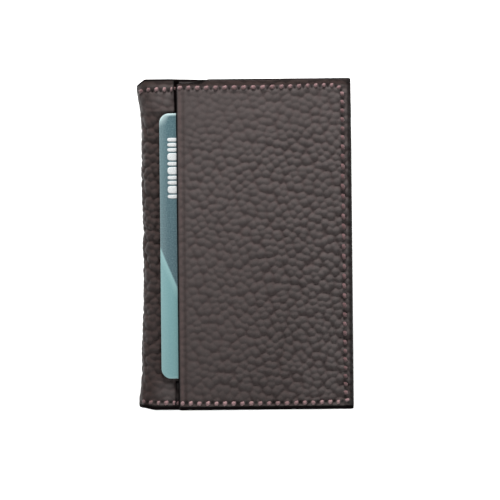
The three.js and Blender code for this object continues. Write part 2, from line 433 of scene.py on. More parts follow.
def mat_card(name):
    m = bpy.data.materials.new(name)
    t, b = nt(m)
    flat = attr(t, "flat").outputs["Vector"]
    sep = t.nodes.new("ShaderNodeSeparateXYZ")
    t.links.new(flat, sep.inputs[0])
    x, y = sep.outputs[0], sep.outputs[1]
    # two fields of colour that meet on a slow curve
    curve = math_(t, "MULTIPLY_ADD", math_(t, "MULTIPLY_ADD", x, 0.03, -2.55), x, 42.45)
    side = maprange(t, math_(t, "SUBTRACT", y, curve), -0.6, 0.6, 0.0, 1.0)
    rim = maprange(t, math_(t, "SUBTRACT", y, curve), -5.0, -0.3, 0.0, 1.0)
    upper = mixc(t, maprange(t, y, 42.0, 85.0, 0.0, 1.0), (0.0210, 0.0410, 0.0495), (0.0200, 0.0445, 0.0525))
    lower = mixc(t, maprange(t, y, 0.0, 40.0, 0.0, 1.0), (0.060, 0.123, 0.127), (0.064, 0.131, 0.136))
    lower = mixc(t, math_(t, "MULTIPLY", rim, 0.32), lower, (0.17, 0.26, 0.26))
    col = mixc(t, side, lower, upper)
    speck = noise_tex(t, flat, 2.2, 3.0, 0.6)
    col = mixc(t, maprange(t, speck, 0.4, 0.75, 0.0, 0.16), col, (0.20, 0.30, 0.31))
    col = mixc(t, attr(t, "edge").outputs["Fac"], col, CARD_RIM)
    t.links.new(col, b.inputs["Base Color"])
    t.links.new(maprange(t, speck, 0.2, 0.8, 0.34, 0.42), b.inputs["Roughness"])
    b.inputs["Specular IOR Level"].default_value = 0.45
    bump(t, b, noise_tex(t, flat, 6.0, 2.0), 0.00001, 0.3)
    return m


def mat_print(name):
    m = bpy.data.materials.new(name)
    t, b = nt(m)
    flat = attr(t, "flat").outputs["Vector"]
    n = noise_tex(t, flat, 3.0, 2.0)
    t.links.new(mixc(t, maprange(t, n, 0.3, 0.7, 0.0, 1.0), (0.20, 0.21, 0.21), (0.31, 0.32, 0.32)), b.inputs["Base Color"])
    t.links.new(maprange(t, n, 0.2, 0.8, 0.35, 0.5), b.inputs["Roughness"])
    return m


def mat_paint(name, a, c):
    """Burnished edge paint: near black and quite matt."""
    m = bpy.data.materials.new(name)
    t, b = nt(m)
    flat = attr(t, "flat").outputs["Vector"]
    n = noise_tex(t, flat, 1.7, 3.0, 0.6)
    t.links.new(mixc(t, maprange(t, n, 0.3, 0.7, 0.0, 1.0), a, c), b.inputs["Base Color"])
    t.links.new(maprange(t, n, 0.2, 0.8, 0.55, 0.75), b.inputs["Roughness"])
    b.inputs["Specular IOR Level"].default_value = 0.02
    bump(t, b, noise_tex(t, flat, 4.5, 2.0), 0.00003, 0.5)
    return m


TOP = (0.0326, 0.0275, 0.0268)
VALLEY = (0.0275, 0.0208, 0.0203)
EDGE = (0.0020, 0.0012, 0.0012)
HIDE = mat_hide("hide_pebbled", TOP, VALLEY, EDGE, (0.46, 0.58))
HIDE_IN = mat_hide("hide_inner", tuple(0.85 * c for c in TOP), tuple(0.85 * c for c in VALLEY), EDGE, (0.55, 0.70), 1.2)
EDGE_PAINT = mat_paint("edge_paint", (0.0005, 0.0003, 0.0003), (0.0018, 0.0010, 0.0010))
EDGE_INNER = mat_paint("edge_paint_inner", (0.0050, 0.0031, 0.0028), (0.0105, 0.0066, 0.0060))
PAINTED += [HIDE, HIDE_IN]
THREAD = mat_thread("thread_rose", (0.172, 0.107, 0.109), (0.128, 0.076, 0.078))
LINING = mat_lining("lining_weave", (0.010, 0.008, 0.008), (0.026, 0.020, 0.019))
BOARD = mat_board("board_fibre", (0.05, 0.030, 0.020), (0.09, 0.055, 0.035))
CARD = mat_card("card_print")
PRINT = mat_print("card_marks")

# ------------------------------------------------------------------ the wallet's own outline
_BOW_Y = [-53.5, -51.6, -50.3, -47.0, -43.8, -37.4, -30.9, -24.5, -18.0, -11.6, -5.2, 1.3, 7.7, 14.2, 20.6, 27.0, 33.5, 40.0, 43.2, 46.4, 48.0, 50.9, 53.5]
_BOW_X = [-1.0, -1.0, -1.0, -0.4, -0.1, -0.13, 0.08, 0.29, 0.70, 0.92, 0.75, 0.71, 0.86, 0.60, 0.42, 0.50, 0.73, 0.62, 0.22, -0.35, -0.75, -1.0, -1.05]


def bow(y):
    """The spine is nipped in at mid height and flares at both ends."""
    k = np.linspace(-1.6, 1.6, 7)
    return np.mean([np.interp(np.asarray(y) + q, _BOW_Y, _BOW_X) for q in k], axis=0)


def shell_point(s, front):
    """Base point, outward normal and flat coordinate of the hide, s mm from the free edge round to mid spine."""
    flat_len = FREE - X_ARC
    phi = np.clip((s - flat_len) / R_FOLD, 0, math.pi / 2)
    x = np.where(s <= flat_len, FREE - s, X_ARC - R_FOLD * np.sin(phi))
    z = np.where(s <= flat_len, FOLD_T, R_FOLD + R_FOLD * np.cos(phi))
    nx, nz = -np.sin(phi), np.cos(phi)
    u = FREE - s
    if not front:
        z, nz = FOLD_T - z, -nz
        u = 2 * (X_ARC - ARC) - u
    return x, z, nx, nz, u


S_END = (FREE - X_ARC) + ARC
TOP_CUT = lambda x: 1.50 * np.clip((-np.asarray(x) - 31.5) / 2.8, 0, 1) - 0.42 * ramp(-np.asarray(x), 20.5, 23.5)
BOT_CUT = lambda x: 0.65 * ramp(-np.asarray(x), 28.5, 32.5)


def shell_hide(name, front, coarse_until, seed, pits):
    """Half of the outer hide: a closed sheet from the free edge round to the middle of the spine."""
    step = 0.30 if front else 0.36
    if coarse_until:
        s_out = np.concatenate([refined(0, coarse_until, 2.6, (True, False))[:-1], refined(coarse_until, S_END, step, (False, False))])
    else:
        s_out = refined(0, S_END, step, (True, False))
    s_in = np.concatenate(
        [np.linspace(S_END, FREE - X_ARC, 10), np.linspace(FREE - X_ARC, 1.2, 22)[1:], [0.6, 0.3, 0.12, 0.0]]
    )
    ys = refined(Y_BOT, Y_TOP, step)
    S = np.concatenate([s_out, s_in])
    n_out = len(s_out)
    outer = np.zeros(len(S), bool)
    outer[:n_out] = True
    x, z, nx, nz, u = shell_point(S, front)
    X, Y = np.broadcast_to(x, (len(ys), len(S))).copy(), np.repeat(ys[:, None], len(S), 1)
    U = np.broadcast_to(u, X.shape)
    edge_s = S[None, :]
    # outline: the corner at the free edge is round, the spine's corners are cut back
    dy = np.minimum(Y - Y_BOT, Y_TOP - Y)
    rc = 0.9
    nip = round_off(rc - np.clip(dy, 0, rc), rc)
    Xs = X - nip * (1 - ramp(edge_s, 0, 3))
    Yc = Y - TOP_CUT(X) * ramp(Y, Y_TOP - 7, Y_TOP) + BOT_CUT(X) * ramp(-Y, -Y_BOT - 7, -Y_BOT)
    Xs = Xs + bow(Yc) * ramp(-Xs, 19.0, 31.0) * 1.0
    g = pebble(U, Yc, seed)
    strength = 0.75 + 0.35 * noise(U / 11, Yc / 11, seed + 9)
    fade = ramp(dy, 0.2, 1.6) * ramp(edge_s, 0.2, 1.6)
    groove = np.zeros(X.shape)
    pit = np.zeros(X.shape)
    groove[:, :n_out], pit[:, :n_out] = seam_field(U[:, :n_out] if front else (2 * (X_ARC - ARC) - U[:, :n_out]), Yc[:, :n_out], pits)
    t = np.hypot(np.clip(0.55 - edge_s, 0, 0.55), np.clip(0.55 - dy, 0, 0.55))
    drop = round_off(t, 0.55)
    wave = 0.34 * (noise(Yc / 4.2, U / 30, seed + 12) - 0.5) + 0.12 * (noise(Yc / 1.9, U / 6, seed + 13) - 0.5)
    # a dip low on the spine, so that a card drawn out over the opened fold passes clear
    wave = (wave - 0.22 * np.exp(-(((Yc + 39.0) / 2.6) ** 2))) * ramp(-X, 28.5, 33.0)
    # the crease pressed in beside the pocket's mouth, above and below the card
    left = MOUTH - 0.85 + 0.30 * (Y > 0)
    crease = ramp(U, left - 0.3, left + 0.1) * (1 - ramp(U, MOUTH + 0.9, MOUTH + 1.4)) * ramp(np.abs(Yc + 0.6), 42.9, 43.7) * (1.0 if front else 0.0)
    crease = crease * outer[None, :]
    if front:
        ends = ramp(np.abs(Yc + 0.6), 38.0, 46.0) * (1 - ramp(U, MOUTH - 0.5, MOUTH + 2.0))
        at_arc = 1 - ramp(U, X_ARC - ARC, X_ARC - 0.6)
        relief = (1.14 - 0.64 * ends) * (1 - 0.62 * at_arc) * strength * fade * (g - 0.60) - 0.14 * at_arc - 0.17 * groove - 0.30 * pit
        # the grain lies lower along the card's path, and is pressed flat under the pocket
        under = ramp(U, MOUTH + 0.8, MOUTH + 2.2)
        track = ramp(43.9 - np.abs(Yc + 0.6), 0.0, 0.7) * ramp(U, X_ARC - 2.0, X_ARC + 0.3)
        relief = relief * (1 - 0.9 * under) - 0.42 * track * (1 - under) - 0.05 * under
    else:
        at_arc = 1 - ramp(U, X_ARC - ARC, X_ARC - 0.6)
        relief = 0.52 * (1 - 0.45 * at_arc) * strength * fade * (g - 1.0) - 0.10 * at_arc - 0.36 * groove - 0.25 * pit
    lift = np.where(outer[None, :], relief - 0.40 * crease - drop + wave, 0)
    sink = np.where(outer[None, :], 0, T_COVER - drop - wave)
    P = np.empty((*X.shape, 3))
    off = lift - sink
    P[..., 0] = Xs + nx * off
    P[..., 1] = Yc
    P[..., 2] = z + nz * off
    if front:
        low = outer[None, :] & ((np.abs(Yc + 0.6) < 43.5) | (U > MOUTH + 1.0))
        P[..., 2] = np.where(low, np.minimum(P[..., 2], FOLD_T + 0.04), P[..., 2])
    else:
        P[..., 2] = np.maximum(P[..., 2], 0.0)
    # the painted edge is wider along the bottom, where it also stands as painted shade on the bottom side
    w_edge = np.where(Y > 0, 1.0 + 0.9 * ramp(-X, 30.5, 33.5), 1.8)
    paint = np.clip(1 - ramp(dy / w_edge, np.where(Y > 0, 0.45, 0.78), 1.0), 0, 1)
    paint = np.maximum(paint, 1 - ramp(edge_s + 0 * dy, 0.35, 0.95))
    # painted shadow: the crease beside the pocket's mouth is painted near black, less at its bottom end
    soft = 1 - 0.42 * ramp(-Yc, 44.0, 47.0)
    paint = np.where(outer[None, :], np.maximum(paint, ramp(crease, 0.25, 0.8) * soft), np.maximum(paint, 0.35))
    # painted shade: the strip is darkened beside the card and round the spine's curve, most at the bottom end, with a
    # painted shadow along the card's left edge; on the back the hide is darkened over the spine
    by_card = ramp(U, X_ARC - ARC - 4.5, X_ARC - ARC + 0.5) * (1 - ramp(np.abs(Yc + 0.6), 40.5, 46.5))
    at_spine = (0.62 + 0.28 * ramp(-Yc, 0.0, 20.0)) * (1 - ramp(U, X_ARC - 1.5, X_ARC + 4.0)) * (1 - by_card) + 0.10 * ramp(-Yc, 40.0, 47.0)
    shade = (0.80 * by_card + at_spine + 0.15 * np.exp(-(((U - CARD_LO[0]) / 1.1) ** 2)) * by_card) if front else 0.25 * (1 - ramp(U, X_ARC - 2 * ARC, X_ARC))
    if front:
        # painted shade on the strip's top margin, above the stitches
        shade = shade + 0.75 * ramp(Y, Y_TOP - 2.4, Y_TOP - 1.5) * (1 - shade) * (U < MOUTH - 0.3)
    shade = np.broadcast_to(shade, X.shape)
    flat = np.stack([U, Yc, np.where(outer, 0.0, 4.0)[None, :] + 0 * U], -1)
    ob = loft(name, P, {"flat": flat, "grain": np.where(outer[None, :], g, 0.25), "edge": paint, "pit": pit, "shade": shade, "painted_highlight": 0 * X}, HIDE)
    return face_out(ob)


def on_back_fold(ob):
    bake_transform(ob)


def on_front_fold(ob):
    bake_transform(ob)


# stitch holes, as flat coordinates
STRIP_X = ([-22.5, -24.5, -27.0, -29.1, -31.7, -34.3], [-22.5, -24.3, -26.6, -29.0, -31.5, -34.9])
STRIP_Y = (Y_BOT + SEAM - 0.13, Y_TOP - SEAM - 0.75)
front_strip = np.array([(x, y) for y, xs in zip(STRIP_Y, STRIP_X) for x in xs])
back_run = u_holes(X_ARC - ARC + 1.5)
# round the pocket the pitch is a little uneven and the seam cuts its two outer corners
SIDE_X = FREE - SEAM
run_low = run((MOUTH - 0.1, Y_BOT + SEAM - 0.06), (SIDE_X - 1.2, Y_BOT + SEAM - 0.02), 19, [2.75, 2.80, 2.95, 2.90, 2.65])
run_low[:, 1] -= 0.30 * np.sin(np.linspace(0, math.pi, len(run_low)))
run_up = run((SIDE_X - 0.05, Y_BOT + 4.15), (SIDE_X - 0.35, Y_TOP - 3.8), 33, [2.62, 2.75, 3.0, 3.2, 3.25, 3.25, 3.25, 2.95, 2.75])
run_up[:, 0] -= 0.12 * np.sin(np.linspace(0, math.pi, len(run_up)))
run_up = np.concatenate([[(SIDE_X + 0.75, Y_BOT + 1.95)], run_up])
run_top = run((SIDE_X - 2.4, Y_TOP - SEAM + 0.05), (MOUTH - 0.1, Y_TOP - SEAM + 0.05), 18, [2.55, 2.70, 2.95, 3.1, 3.1, 2.95, 2.8])
run_top[:, 1] -= 0.42 * (1 - ramp(run_top[:, 0], 8, 27))
POCKET_RUNS = [run_low, np.concatenate([run_up, run_top])]
_count = 0
for _r in POCKET_RUNS:
    _k = np.arange(len(_r)) + _count
    _r += 0.14 * (np.stack(_hash(_k, _k * 0 + 3, 8), -1) - 0.5)
    _count += len(_r)
pocket_run = np.concatenate(POCKET_RUNS)

hide_front = shell_hide("outer_hide_front", True, FREE + 18.5, 11, front_strip)
hide_back = shell_hide("outer_hide_back", False, 0, 11, back_run)
on_front_fold(hide_front)
on_back_fold(hide_back)
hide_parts("front_cover")
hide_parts("back_cover", "spine_cover")


# ------------------------------------------------------------------ flat leaves
def leaf(
    name,
    x0,
    x1,
    zt,
    zb,
    material,
    seed,
    fine=(None, None),
    step=0.30,
    holes=None,
    amp=0.13,
    flip=False,
    strength=None,
    top_shape=None,
    crease=(),
    rc=(0.9, 0.9),
    y_lo=Y_BOT,
    y_hi=Y_TOP,
    paint_w=(0.8, 0.9, 0.9, 0.9),
    top_cut=None,
    grain_args=None,
    rr=None,
    shade=None,
    painted_highlight=None,
):
    """A closed leather leaf between x0 and x1. Its good side is zt, or zb's side if flip. Only the part from fine[0] to fine[1] is meshed finely.
    paint_w is the width of the painted edge at the left, right, bottom and top."""
    f0, f1 = (x0 if fine[0] is None else fine[0]), (x1 if fine[1] is None else fine[1])
    segs = []
    if f0 > x0 + 1:
        segs.append(refined(x0, f0, 2.6, (True, False))[:-1])
        segs.append(refined(f0, f1, step, (False, f1 >= x1 - 1)))
    else:
        segs.append(refined(x0, f1, step, (True, f1 >= x1 - 1)))
    if f1 < x1 - 1:
        segs[-1] = segs[-1][:-1]
        segs.append(refined(f1, x1, 2.6, (False, True)))
    xt = np.concatenate(segs)
    xb = np.concatenate([[x1 - o for o in (0, 0.12, 0.3, 0.6)], np.linspace(x1 - 1.2, x0 + 1.2, 16), [x0 + o for o in (0.6, 0.3, 0.12, 0)]])
    ys = refined(y_lo, y_hi, step)
    xr = np.concatenate([xt, xb])
    good = np.zeros(len(xr), bool)
    good[: len(xt)] = True
    X = np.broadcast_to(xr, (len(ys), len(xr))).copy()
    Y = np.repeat(ys[:, None], len(xr), 1)
    dy = np.minimum(Y - y_lo, y_hi - Y)
    dl, dr = X - x0, x1 - X
    nip_r = round_off(rc[1] - np.clip(dy, 0, rc[1]), rc[1])
    nip_l = round_off(rc[0] - np.clip(dy, 0, rc[0]), rc[0])
    Xs = X - nip_r * (1 - ramp(dr, 0, 4 * rc[1])) + nip_l * (1 - ramp(dl, 0, 4 * rc[0]))
    Yc = Y.copy()
    if top_cut is not None:
        Yc = Yc - top_cut(X) * ramp(Y, y_hi - 6, y_hi)
    th = zt - zb
    r = rr or 0.47 * th
    t = np.hypot(np.clip(r - np.minimum(dl, dr), 0, r), np.clip(r - dy, 0, r))
    drop = round_off(t, r)
    g = pebble(Xs, Yc, seed, **(grain_args or {}))
    st = strength(Xs, Yc) if strength else 0.8 + 0.3 * noise(Xs / 11, Yc / 11, seed + 9)
    fade = ramp(dy, 0.2, 1.4) * ramp(np.minimum(dl, dr), 0.15, 1.2)
    groove, pit = np.zeros(X.shape), np.zeros(X.shape)
    if holes is not None:
        groove, pit = seam_field(Xs, Yc, holes)
    line = np.zeros(X.shape)
    for cx, depth, width in crease:
        line += depth * np.exp(-(((Xs - cx) / width) ** 2))
    shape = top_shape(Xs, Yc) if top_shape else 0 * X
    rise = amp * st * fade * (g - 0.62) - 0.16 * groove - 0.30 * pit - line * fade - drop
    Z = np.where(good[None, :], zt + rise + shape, zb + drop + shape)
    if flip:
        Z = zt + zb - Z + 0
    P = np.stack([Xs, Yc, Z], -1)
    paint = 1 - ramp(dl, paint_w[0] * 0.4, paint_w[0])
    paint = np.maximum(paint, (1 - ramp(dr, paint_w[1] * 0.5, paint_w[1])) * (paint_w[4] if len(paint_w) > 4 else 1))
    paint = np.maximum(paint, 1 - ramp(Y - y_lo, paint_w[2] * 0.78, paint_w[2]))
    paint = np.maximum(paint, 1 - ramp(y_hi - Y, paint_w[3] * 0.45, paint_w[3]))
    gr = np.where(good[None, :], np.clip(0.62 + (g - 0.62) * np.clip(st, 0, 1.2), 0, 1), 0.3)
    flat = np.stack([Xs, Yc, np.where(good, 0.0, 4.0)[None, :] + 0 * X], -1)
    return face_out(loft(name, P, {"flat": flat, "grain": gr, "edge": paint, "pit": pit, "shade": shade(Xs, Yc) if shade else 0 * X, "painted_highlight": painted_highlight(Xs, Yc) if painted_highlight else 0 * X}, material))


# ---- outside pocket
PZT, PZB = float(cad("outer_pocket")[1][2]), float(cad("outer_pocket")[0][2])
HEM_Z0 = float(cad("outer_pocket_side_hem")[0][2])
HEM_X = float(cad("outer_pocket_side_hem")[0][0])


def pocket_strength(x, y):
    calm = ramp(-x, -8.0, 20.0) * ramp(y, 28.0, 46.0)
    lip = 1 - ramp(x, MOUTH + 2.0, MOUTH + 6.0)
    s = 0.84 + 0.46 * ramp(x, -16.0, 28.0) + 0.25 * (noise(x / 13, y / 13, 77) - 0.5)
    low = ramp(-y, -16.0, 2.0)
    s = s * (1 + 0.20 * low * ramp(x, -3.0, 9.0)) * (1 + 0.14 * low * ramp(x, 19.0, 27.0))
    s = s * (1 + 0.45 * np.exp(-(((x + 3) / 9) ** 2) - ((y + 43) / 8) ** 2))
    s = s * (1 - 0.30 * ramp(y, 27.0, 41.0)) * (1 - 0.08 * ramp(-y, 34.0, 50.0))
    return np.clip(s * (1 - 0.34 * calm) * (1 - 0.50 * lip), 0.15, 1.65)


def pocket_shape(x, y):
    """The leaf is tight over the card, a little lower round it, and pulled down along the seams."""
    over = ramp(x, -40, -20) * (1 - ramp(x, CARD_HI[0] - 1.0, CARD_HI[0] + 3.0))
    over = over * ramp(y, CARD_LO[1] - 3.0, CARD_LO[1] + 1.0) * (1 - ramp(y, CARD_HI[1] - 1.0, CARD_HI[1] + 3.0))
    seam = np.minimum(np.minimum(y - Y_BOT, Y_TOP - y), FREE - x)
    pull = 0.26 * (1 - ramp(seam, 1.4, 3.3))
    roll = 0.42 * (1 - ramp(y - Y_BOT, 0.0, 1.5)) + 0.20 * (1 - ramp(FREE - x, 0.0, 1.5))
    buckle = 0.12 * (noise(x / 15, y / 19, 31) - 0.5)
    nose = 0.34 * (1 - ramp(x - MOUTH, 0.0, 1.25))
    return -0.15 * (1 - over) - pull - roll - nose + buckle * ramp(seam, 3, 9)


pocket = leaf(
    "outer_pocket_leaf",
    MOUTH,
    FREE,
    PZT,
    PZB,
    HIDE,
    23,
    step=0.29,
    holes=pocket_run,
    amp=0.66,
    strength=pocket_strength,
    top_shape=pocket_shape,
    crease=((MOUTH + 2.35, 0.17, 0.36),),
    rc=(1.1, 0.8),
    # the wide bottom band of edge paint is partly painted shade on the bottom side
    paint_w=(0.75, 1.70, 1.48, 0.62, 0.86),
    top_cut=lambda x: 1.30 * (1 - ramp(x, -14.6, -11.6)),
    shade=lambda x, y: np.clip(
        0.42 * np.exp(-(((x - MOUTH - 2.35) / 0.5) ** 2)) + 0.12 * ramp(x, FREE - 3.6, FREE - 1.5)
        + 0.16 * ramp(-y, 44, 52) + 0.32 * ramp(-y, -30, 50) * (1 - 0.85 * ramp(x, 8, 28)) + 1.0 * ramp(y, Y_TOP - 2.6, Y_TOP - 1.9) * (1 - 0.75 * ramp(y, Y_TOP - 0.85, Y_TOP - 0.35)),
        0, 0.95,
    ),
    # painted highlight along the rolled lip of the pocket's mouth
    painted_highlight=lambda x, y: 0.30 * ramp(x, MOUTH + 0.5, MOUTH + 1.0) * (1 - ramp(x, MOUTH + 1.3, MOUTH + 2.1)) * (0.6 + 0.8 * noise(x / 3, y / 4, 19)),
)
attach(pocket, "front_half")
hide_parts("outer_pocket")


def strip(name, x0, x1, y0, y1, zt, zb, seed, body, node, shape=None, cut=None):
    ob = leaf(
        name, x0, x1, zt, zb, HIDE, seed, step=0.5, amp=0.03, rc=(0.25, 0.25), y_lo=y0, y_hi=y1, paint_w=(2.2, 2.2, 2.2, 2.2), top_shape=shape, rr=0.18, top_cut=cut
    )
    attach(ob, body)
    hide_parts(node)
    return ob


HEM_TOP = PZB - 0.80  # below the seam's pulled-down leaf
hem_w = HEM_X - 0.06
strip("pocket_hem_side", HEM_X, FREE, Y_BOT, Y_TOP, HEM_TOP, HEM_Z0, 41, "front_half", "outer_pocket_side_hem")
strip("pocket_hem_bottom", MOUTH + 0.1, hem_w, Y_BOT, Y_BOT + 2.9, HEM_TOP, HEM_Z0, 42, "front_half", "outer_pocket_bottom_hem")
strip(
    "pocket_hem_top", MOUTH + 0.1, hem_w, Y_TOP - 3.9, Y_TOP, HEM_TOP, HEM_Z0, 43, "front_half", "outer_pocket_top_hem",
    cut=lambda x: 1.55 * (1 - ramp(x, -14.6, -11.6)),
)
mh_lo, mh_hi = cad("outer_pocket_mouth_hem")
strip(
    "pocket_mouth_turn", float(mh_lo[0]) + 0.05, float(mh_hi[0]), float(mh_lo[1]), float(mh_hi[1]), float(mh_hi[2]) - 0.03, float(mh_lo[2]), 44,
    "front_half", "outer_pocket_mouth_hem", shape=lambda x, y: 0 * x,
)

# ---- inner pockets: three stepped leaves in each half, mouths towards the spine
MOUTHS = [float(cad("back_note_pocket")[0][0]), float(cad("back_card_slot_upper")[0][0]), float(cad("back_card_slot_lower")[0][0])]
inner_run = u_holes(X_ARC + 2.2)
LEVELS = []
for side in ("back", "front"):
    names = ["note_pocket", "card_slot_upper", "card_slot_lower"]
    for i, nm in enumerate(names):
        lo, hi = cad(f"{side}_{nm}")
        vis = MOUTHS[i + 1] + 1.5 if i < 2 else None
        ob = leaf(
            f"{side}_{nm}_leaf",
            MOUTHS[i],
            FREE,
            float(hi[2]),
            float(lo[2]),
            HIDE_IN,
            60 + 7 * i + (0 if side == "back" else 31),
            fine=(None, vis),
            step=0.36,
            holes=inner_run[inner_run[:, 0] > MOUTHS[i] + 0.5],
            amp=0.20,
            flip=(side == "front"),
            crease=((MOUTHS[i] + 1.7, 0.09, 0.26),),
            rc=(0.5, 0.9),
            paint_w=(0.35, 0.8, 0.8, 0.8),
            grain_args={"pitch": 1.9},
        )
        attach(ob, f"{side}_half")
        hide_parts(f"{side}_{nm}")
        if side == "back":
            LEVELS.append((MOUTHS[i], float(hi[2])))


# ---- lining: woven sheet that follows the inside of the hide round the fold
def lining(name, front):
    t_l = 0.22
    z_in = float(cad("back_lining")[0][2])
    s_out = np.concatenate([np.linspace(0.2, FREE + 22, 30), refined(FREE + 22, S_END, 0.5, (False, False))[1:]])
    ys = refined(Y_BOT + 0.35, Y_TOP - 0.35, 0.8, (False, False))
    x, z, nx, nz, u = shell_point(np.concatenate([s_out, s_out[::-1]]), front)
    far = np.concatenate([np.ones(len(s_out)), np.zeros(len(s_out))])
    ss = np.concatenate([s_out, s_out[::-1]])
    depth = T_COVER + 0.06 + (z_in - T_COVER - 0.03) * (1 - ramp(ss, FREE + 28.3, FREE + 30.4))
    off = depth + (1 - far) * t_l
    X = np.repeat((x - nx * off)[None, :], len(ys), 0)
    Z = np.repeat((z - nz * off)[None, :], len(ys), 0)
    Y = np.repeat(ys[:, None], X.shape[1], 1)
    Y = Y - (TOP_CUT(x) * 1.0)[None, :] * ramp(Y, Y_TOP - 7, Y_TOP) + (BOT_CUT(x))[None, :] * ramp(-Y, -Y_BOT - 7, -Y_BOT)
    Xs = X + bow(Y) * ramp(-x, 19.0, 31.0)[None, :]
    P = np.stack([Xs, Y, Z], -1)
    flat = np.stack([np.broadcast_to(u, X.shape), Y, far[None, :] * 3 + 0 * X], -1)
    return face_out(loft(name, P, {"flat": flat, "pit": 0 * X, "edge": 0 * X, "grain": 0 * X}, LINING))


lin_b, lin_f = lining("woven_lining_back", False), lining("woven_lining_front", True)
on_back_fold(lin_b)
on_front_fold(lin_f)
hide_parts("back_lining", "spine_lining")
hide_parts("front_lining")


# ------------------------------------------------------------------ thread
def stitches(name, runs, r0=0.67, inset=0.60, lean=-0.13, abrasion_and_shade=None, sink=0.0):
    """Separate twisted stitches. Each run is a list of (point, normal) at the holes, in mm. The darkening function of
    x, y gives how dark each stitch is made, 0 to 1: partly wear, partly painted shade.
    """
    V, F, FL, PT, SH = [], [], [], [], []
    base = 0
    na, nr = 12, 13
    ang = np.linspace(0, 2 * math.pi, na, endpoint=False)
    tt = np.linspace(0, 1, nr)
    serial = 0
    for run in runs:
        for (p, n), (q, m) in zip(run[:-1], run[1:]):
            p, q, n, m = (np.array(v, float) for v in (p, q, n, m))
            d = q - p
            length = np.linalg.norm(d)
            if length > 1.7 * PITCH or length < 0.8:
                continue
            serial += 1
            ja, jb = _hash(np.array([serial]), np.array([len(name)]), 5)
            ja, jb = float(ja[0]) - 0.5, float(jb[0]) - 0.5
            d = d / length
            k = (n + m) / np.linalg.norm(n + m)
            side = np.cross(k, d)
            a, b = p + d * inset, q - d * inset
            lift = 0.24 + 0.06 * ja
            abraded_shaded = float(abrasion_and_shade(*((p + q) / 2)[:2])) if abrasion_and_shade else 0.0
            rad = r0 * (1 + 0.10 * jb) * (1 - 0.10 * abraded_shaded)
            abraded_shaded = min(1.0, max(0.0, abraded_shaded + 0.17 * jb))
            for i, t in enumerate(tt):
                nn = n * (1 - t) + m * t
                nn = nn / np.linalg.norm(nn)
                arch = math.sin(math.pi * t) ** 0.55
                c = a * (1 - t) + b * t + nn * (lift * arch - 0.36 * (1 - arch) - sink) + side * (lean + 0.05 * ja) * (1 - 2 * t)
                # round ends, and three strands that wind round each other
                end = min(1.0, 0.30 + 1.35 * math.sqrt(max(0.0, min(t, 1 - t))))
                wob = 1 + 0.10 * np.cos(3 * (ang - 2 * math.pi * 0.55 * t - serial))
                ring = c[None, :] + (rad * end * wob)[:, None] * (np.cos(ang)[:, None] * side + np.sin(ang)[:, None] * nn * 0.74)
                V.append(ring)
                FL.append(np.stack([np.full(na, serial * 3.7 + t * length), ang * r0, np.full(na, serial * 1.3)], -1))
                # painted shade value: highest at the stitch's ends, where it goes into its hole
                PT.append(np.full(na, 1 - min(1.0, arch * 1.25)))
                SH.append(np.full(na, abraded_shaded))
            for i in range(nr - 1):
                for j in range(na):
                    j2 = (j + 1) % na
                    F.append([base + i * na + j, base + i * na + j2, base + (i + 1) * na + j2, base + (i + 1) * na + j])
            F.append([base + j for j in range(na)][::-1])
            F.append([base + (nr - 1) * na + j for j in range(na)])
            base += na * nr
    ob = make_object(name, np.concatenate(V), F, (), {"flat": np.concatenate(FL), "pit": np.concatenate(PT), "shade": np.concatenate(SH)}, THREAD)
    face_out(ob)
    return ob


def on_pocket(h):
    z = PZT + float(pocket_shape(np.array([h[0]]), np.array([h[1]]))[0]) - 0.16
    return ((h[0], h[1], z), (0, 0, 1))


def on_shell(u, y, front):
    """A point on the hide at flat coordinate u (x, carried on round the fold)."""
    x, z, nx, nz, _ = shell_point(np.array([FREE - u]), front)
    yc = y - float(TOP_CUT(x)[0]) * float(ramp(y, Y_TOP - 7, Y_TOP)) + float(BOT_CUT(x)[0]) * float(ramp(-y, -Y_BOT - 7, -Y_BOT))
    xs = float(x[0]) + float(bow(np.array([yc]))[0]) * float(ramp(-x, 19.0, 31.0)[0])
    n = (float(nx[0]), 0.0, float(nz[0]))
    return ((xs - 0.16 * n[0], yc, float(z[0]) - 0.16 * n[2]), n)


over_lip = [
    [((MOUTH - 0.16, y, FOLD_T - 0.25), (-0.8, 0, 0.6)), ((MOUTH - 0.12, y, PZT - 0.75), (-0.8, 0, 0.6))]
    for y in (float(pocket_run[0][1]), float(pocket_run[-1][1]))
]
thread_pocket = stitches(
    "stitching_pocket", [[on_pocket(h) for h in r] for r in POCKET_RUNS] + over_lip,
    # darkening per stitch: wear on the right seam; painted shade on the top row, which faces the key light, and on the
    # stitches over the mouth's lip; darker along the middle of the bottom row
    abrasion_and_shade=lambda x, y: 0.86 * (x > 30) * (1 - ramp(abs(y), 47, 50)) + (y < -48) * (0.04 + 0.52 * math.exp(-(((x - 11) / 15) ** 2))) + 0.62 * (y > 49) + 0.9 * (x < MOUTH),
)
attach(thread_pocket, "front_half")
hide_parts("front_outer_thread")

runs = []
for y, xs in zip(STRIP_Y, STRIP_X):
    runs.append([on_shell(u, y, True) for u in xs])
# painted shade: these stitches darken toward the spine's curve, like the hide under them
thread_strip = stitches("stitching_spine_front", runs, abrasion_and_shade=lambda x, y: 0.25 + 0.6 * ramp(-x, 28.0, 31.5))
on_front_fold(thread_strip)
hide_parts("front_strip_thread_bottom", "front_strip_thread_top", "spine_thread_bottom", "spine_thread_top")

thread_back = stitches("stitching_back", [[on_shell(h[0], h[1], False) for h in back_run]], r0=0.34, inset=0.62, sink=0.42)
on_back_fold(thread_back)
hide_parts("back_outer_thread")


def inner_level(x):
    z = float(cad("back_lining")[1][2])
    for mx, top in LEVELS:
        if x > mx:
            z = top
    return z


